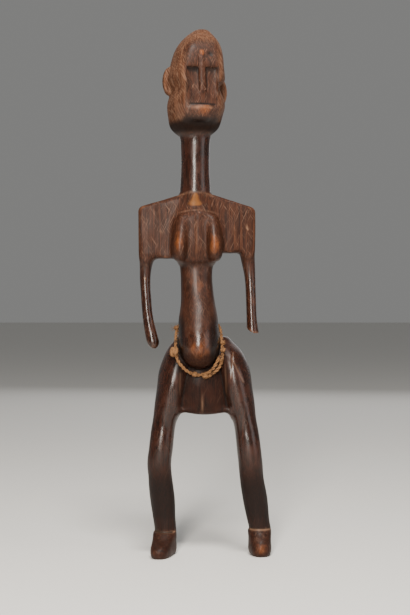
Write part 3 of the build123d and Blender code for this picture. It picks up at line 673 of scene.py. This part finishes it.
yoke = ramp(z, 286, 324) * ramp(z, 385, 381.5)
brown = np.maximum(brown, yoke * 0.85)
brown = np.maximum(brown, ramp(z, 222, 250) * ramp(z, 330, 300) * 0.55 * ramp(np.abs(x), 62, 50))
brown = np.maximum(brown, front * ramp(z, 190, 205) * ramp(z, 300, 270) * around(x, -6, 15) * 0.8)
brown = np.maximum(brown, ramp(z, 340, 300) * ramp(np.abs(x), 44, 52) * ramp(z, 200, 215) * 0.35)
brown = np.maximum(brown, ramp(z, 30, 26) * 0.4)
apron = front * ramp(z, 222, 210) * ramp(z, 148, 153) * ramp(np.abs(x), 30, 24)
dark = np.maximum(dark, apron * 0.42)
wear_and_highlight = np.maximum(wear_and_highlight, yoke * ramp(N[:, 2], 0.3, 0.9) * 0.35)
ochre = np.maximum(ochre, front * around(x, -8, 2.2 + 0.5 * np.clip(383 - z, 0, 14)) * ramp(z, 366, 371) * ramp(z, 386, 379))
for bx in (-25.5, 11.5):
    warm = np.maximum(warm, front * around(np.hypot((x - bx) / 7.2, (z - 331) / 17), 0, 1) * 0.62)
warm = np.maximum(warm, front * around(np.hypot((x + 5.5) / 13, (z - 218) / 12), 0, 1) * 0.62)
warm = np.maximum(warm, front * around(np.hypot((x + 7) / 7, (z - 285) / 24), 0, 1) * 0.55)
# Painted shade on the downward-facing underside of the belly.
dark = np.maximum(dark, ramp(-N[:, 2], 0.3, 0.8) * around(z, 197, 8) * front * 0.6)
# Painted shade on the shins.
dark = np.maximum(dark, ramp(z, 125, 70) * 0.52 * ramp(z, 22, 30))
dark = np.maximum(dark, ramp(z, 188, 196) * ramp(z, 262, 240) * ramp(np.abs(x + 6), 10, 16) * ramp(np.abs(x + 6), 27, 23) * 0.75)
# Painted shade beside the nose, at the edges of the face's recess, under the brow, in the mouth line, under the lower
# lip, under the chin and on the right side of the jaw.
dark = np.maximum(dark, in_head * around(np.abs(hx - 0.2), 4.4, 0.8) * ramp(z, 484, 487) * ramp(z, 513, 511) * ramp(-hy, 20, 26) * 0.6)
dark = np.maximum(dark, in_head * around(np.abs(hx), 16.8, 1.1) * ramp(z, 478, 486) * ramp(z, 513, 511) * ramp(-hy, 18, 24) * 0.55)
dark = np.maximum(dark, in_head * around(z, 510.6, 1.1) * ramp(np.abs(hx), 18, 16) * ramp(np.abs(hx), 3, 4.5) * ramp(-hy, 20, 26) * 0.75)
dark = np.maximum(dark, in_head * around(z, 472.8, 0.9) * ramp(np.abs(hx), 15, 13) * ramp(-hy, 20, 26) * 0.9)
dark = np.maximum(dark, in_head * ramp(z, 464, 455) * ramp(-hy, 15, 22) * ramp(np.abs(hx), 6, 13) * 0.6)
dark = np.maximum(dark, in_head * ramp(z, 463, 453) * 0.95)
# More painted shade on the shins.
dark = np.maximum(dark, ramp(z, 110, 70) * ramp(z, 30, 42) * 0.7)
dark = np.maximum(dark, in_head * ramp(z, 474, 452) * ramp(hx, 8, 20) * ramp(-hy, 0, 18) * 0.6)
# Painted highlight on the top of the lower lip, where the light catches it.
wear_and_highlight = np.maximum(wear_and_highlight, in_head * around(z, 468.6, 2.0) * ramp(np.abs(hx), 15.5, 8) * ramp(-hy, 24, 28) * 0.75)
dull = np.maximum(yoke * 0.95, in_head * (0.8 + 0.2 * crown_side))
dull *= 1 - 0.6 * in_head * around(z, 464, 9) * ramp(-hy, 20, 26)
dull = np.maximum(dull, apron)
dull = np.maximum(dull, ramp(z, 120, 80) * 0.75)
dull = np.maximum(dull, ramp(z, 235, 255) * ramp(z, 320, 300) * 0.45 * ramp(np.abs(x), 30, 25))
for bx in (-25.5, 11.5):
    dull *= 1 - 0.5 * front * around(np.hypot((x - bx) / 8, (z - 332) / 18), 0, 1)
for tx in (-60, 61):
    warm = np.maximum(warm, around(np.hypot(x - tx, z - 9), 0, 6.5) * ramp(-y, 8, 24) * 0.7)
line = np.maximum(line, front * around(x, -24 + 0.03 * (z - 185), 0.9) * ramp(z, 163, 180) * ramp(z, 207, 192) * 0.16)
line = np.maximum(line, front * around(x, 24 - 0.04 * (z - 185), 0.9) * ramp(z, 163, 180) * ramp(z, 207, 192) * 0.2)
line = np.maximum(line, around(x + 0.6, 0, 1.1) * around(z, 160, 7.5) * front * 0.4)

for start, end in HIP_STROKES:
    line = np.maximum(line, front * stroke(P, start, end, 0.8) * 0.22)
for cx, cz, size in ((-61.5, 292.4, 0.9), (-42.6, 129.5, 0.8), (-43.5, 341, 1.1), (47, 345, 0.8)):
    line = np.maximum(line, front * around(np.hypot(x - cx, z - cz), 0, size) * 0.9)
wear_and_highlight = np.maximum(wear_and_highlight, front * around(x, -6.6, 1.8) * ramp(z, 312, 320) * ramp(z, 360, 348) * 0.6)
wear_and_highlight = np.maximum(wear_and_highlight, front * around(x, 33, 2.6) * ramp(z, 322, 330) * ramp(z, 356, 346) * 0.55)
# A faint painted highlight on the lower lip.
line = np.maximum(line, in_head * around(z, 468.8, 2.1) * ramp(np.abs(hx), 15, 7) * ramp(-hy, 24, 28) * 0.1)
# Less painted shade in the ear hollows.
dark *= 1 - 0.6 * in_head * ramp(np.abs(hx), 22, 26) * ramp(z, 466, 474)
hatch = crown_side * ramp(z, 446, 460)
ledge = np.where(x < 0, 24.3, 27.0)
# Painted highlight along the collar ledge at the foot of the neck.
line = np.maximum(line, around(z, 383 - 0.01 * (x + 8) ** 2, 1.0) * ramp(np.abs(x + 8), 22, 17) * 0.16)
# Painted highlight along the front of the ankle ledges.
line = np.maximum(line, around(z, ledge, 0.8) * 0.6 * ramp(-N[:, 1], 0.1, 0.5))
# Painted highlight along the top edge of the chest panel.
line = np.maximum(line, front * around(z, 364 - 0.008 * (x + 6) ** 2, 0.7) * ramp(np.abs(x + 6), 25, 19) * 0.2 * (0.6 + 0.8 * noise_field(P, 6, 1.2)))
for name, values in (("dull", dull), ("hatch", hatch), ("brown", brown), ("wear_and_highlight", wear_and_highlight), ("warm", warm), ("dark", dark), ("ochre", ochre), ("line", line)):
    paint(name, values)

mesh.materials.clear()
mesh.materials.append(wood)
mesh.polygons.foreach_set("use_smooth", [True] * len(mesh.polygons))
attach(figure, "root")
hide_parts("carved_figure")
print("figure triangles", sum(len(p.vertices) - 2 for p in mesh.polygons))

# ---------------------------------------------------------------- floor and light

floor_material = bpy.data.materials.new("pale_floor")
floor_material.use_nodes = True
floor_shader = floor_material.node_tree.nodes["Principled BSDF"]
floor_shader.inputs["Base Color"].default_value = linear("#e4e2de")
floor_shader.inputs["Roughness"].default_value = 0.9
floor = mesh_object("floor", [(-20, -20, 0), (20, -20, 0), (20, 20, 0), (-20, 20, 0)], [(0, 1, 2, 3)], floor_material, False)

world = bpy.data.worlds.new("studio")
bpy.context.scene.world = world
world.use_nodes = True
world.node_tree.nodes["Background"].inputs[0].default_value = linear("#dcdcda")
world.node_tree.nodes["Background"].inputs[1].default_value = 0.3


def softbox(name, place, target, width, height, power, colour="#ffffff"):
    data = bpy.data.lights.new(name, "AREA")
    data.shape = "RECTANGLE"
    data.size = width
    data.size_y = height
    data.energy = power
    data.color = linear(colour)[:3]
    lamp = bpy.data.objects.new(name, data)
    lamp.location = place
    lamp.rotation_euler = (Vector(target) - Vector(place)).to_track_quat("-Z", "Y").to_euler()
    bpy.context.collection.objects.link(lamp)
    return lamp


softbox("key", (-0.2, -1.45, 0.8), (0, 0, 0.34), 0.2, 1.0, 36, "#fff8ee")
softbox("top", (0.12, -0.75, 1.75), (0, 0, 0.3), 0.5, 0.4, 34, "#fffaf2")
softbox("fill", (1.6, -0.9, 0.7), (0, 0, 0.3), 1.0, 1.2, 8)
softbox("rear", (0.3, 2.0, 1.3), (0, 0, 0.3), 2.2, 2.0, 11)
